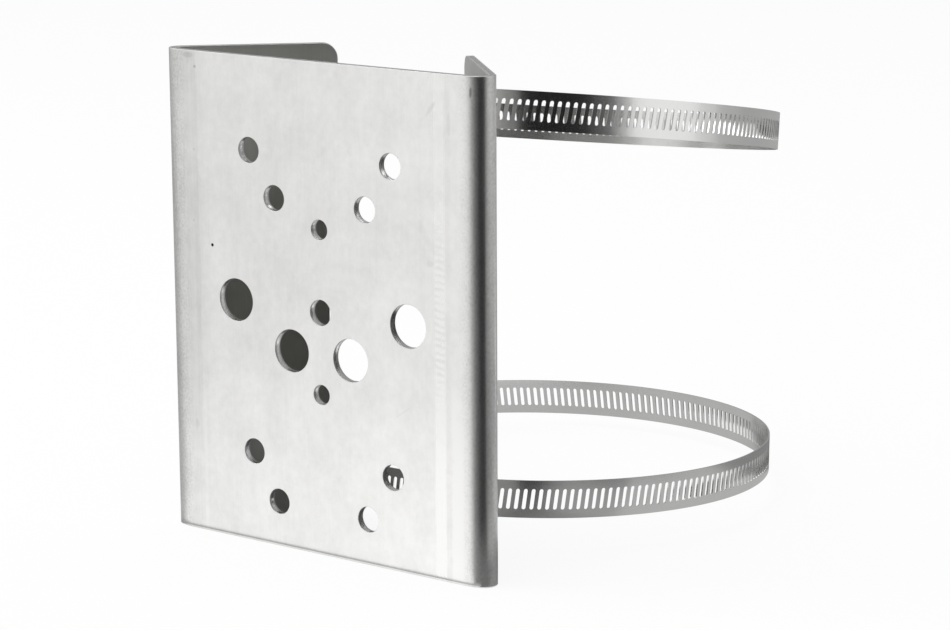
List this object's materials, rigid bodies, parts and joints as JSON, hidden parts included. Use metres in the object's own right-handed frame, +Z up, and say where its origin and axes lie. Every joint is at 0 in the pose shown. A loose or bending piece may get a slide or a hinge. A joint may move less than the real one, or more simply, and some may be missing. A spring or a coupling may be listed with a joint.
{
  "type": "strap mounting bracket",
  "caption": "Folded aluminium pole bracket with a drilled front plate and two angled flanges, strapped to a post by perforated worm-drive band clamps through slots in the flanges.",
  "frame": {"origin": "middle of the centre hole on the front face of the plate", "axes": "+X to the right seen from the front, +Y from the front face back towards the pole, +Z up along the pole"},
  "size_m": [0.2225, 0.249, 0.2046],
  "materials": {
    "plate_aluminium": "mill finish, satin",
    "band_steel": "satin stainless",
    "housing_steel": "satin stainless",
    "screw_steel": "plain zinc grey"
  },
  "bodies": {
    "bracket": {"mounting_plate": "plate_aluminium", "upper_band": "band_steel", "upper_housing": "housing_steel", "lower_band": "band_steel", "lower_housing": "housing_steel"},
    "upper_worm": {"upper_screw": "screw_steel"},
    "lower_worm": {"lower_screw": "screw_steel"}
  },
  "joints": [
    {"name": "upper_screw_turn", "type": "hinge", "parent": "bracket", "child": "upper_worm", "pos_m": [-0.10275, 0.14389, 0.058], "axis": [0.0084, 0.985, -0.1723], "continuous": true},
    {"name": "lower_screw_turn", "type": "hinge", "parent": "bracket", "child": "lower_worm", "pos_m": [-0.10509, 0.1449, -0.08547], "axis": [0.0002, 0.9995, -0.033], "continuous": true}
  ]
}
